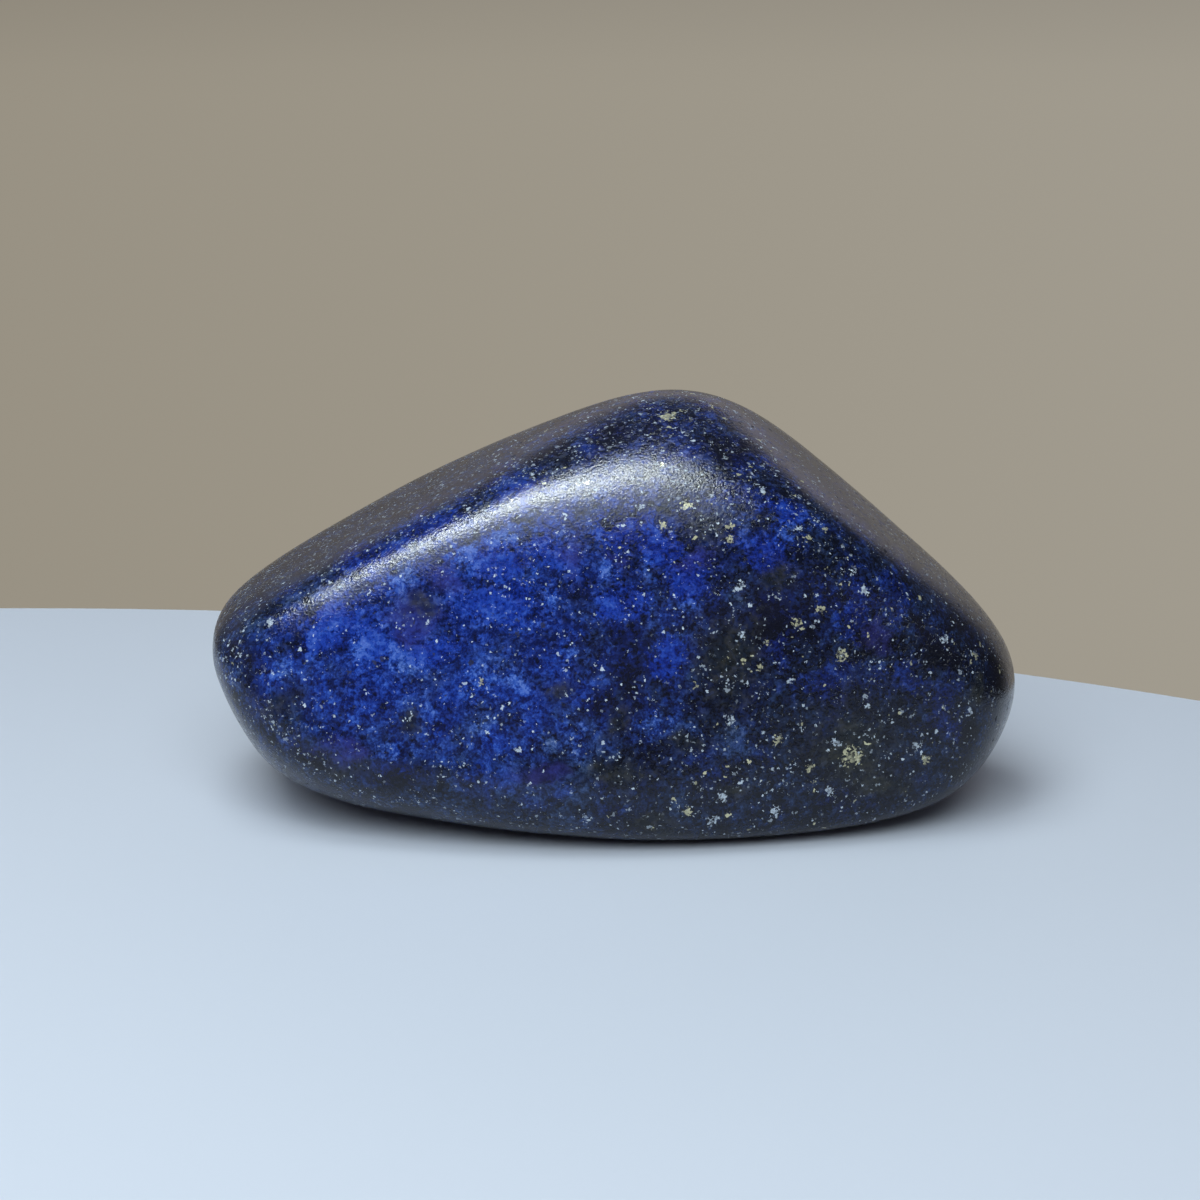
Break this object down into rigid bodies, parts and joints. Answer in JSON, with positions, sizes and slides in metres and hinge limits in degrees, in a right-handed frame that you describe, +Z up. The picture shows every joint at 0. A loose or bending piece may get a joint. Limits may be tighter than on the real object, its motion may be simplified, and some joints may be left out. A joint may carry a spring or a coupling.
{
  "type": "polished lapis lazuli stone",
  "caption": "Hand-sized freeform stone of polished lapis lazuli, with broad soft flats between rounded ridges, standing on a small flat spot.",
  "frame": {"origin": "middle of the stone's bounding box, on the surface that it stands on", "axes": "+X along the stone's length, towards its thicker, steeper end; +Y from the broad front face to the back; +Z up"},
  "size_m": [0.0646, 0.0392, 0.032],
  "materials": {
    "lapis": "polished"
  },
  "bodies": {
    "root": {"lapis_stone": "lapis"}
  },
  "joints": []
}
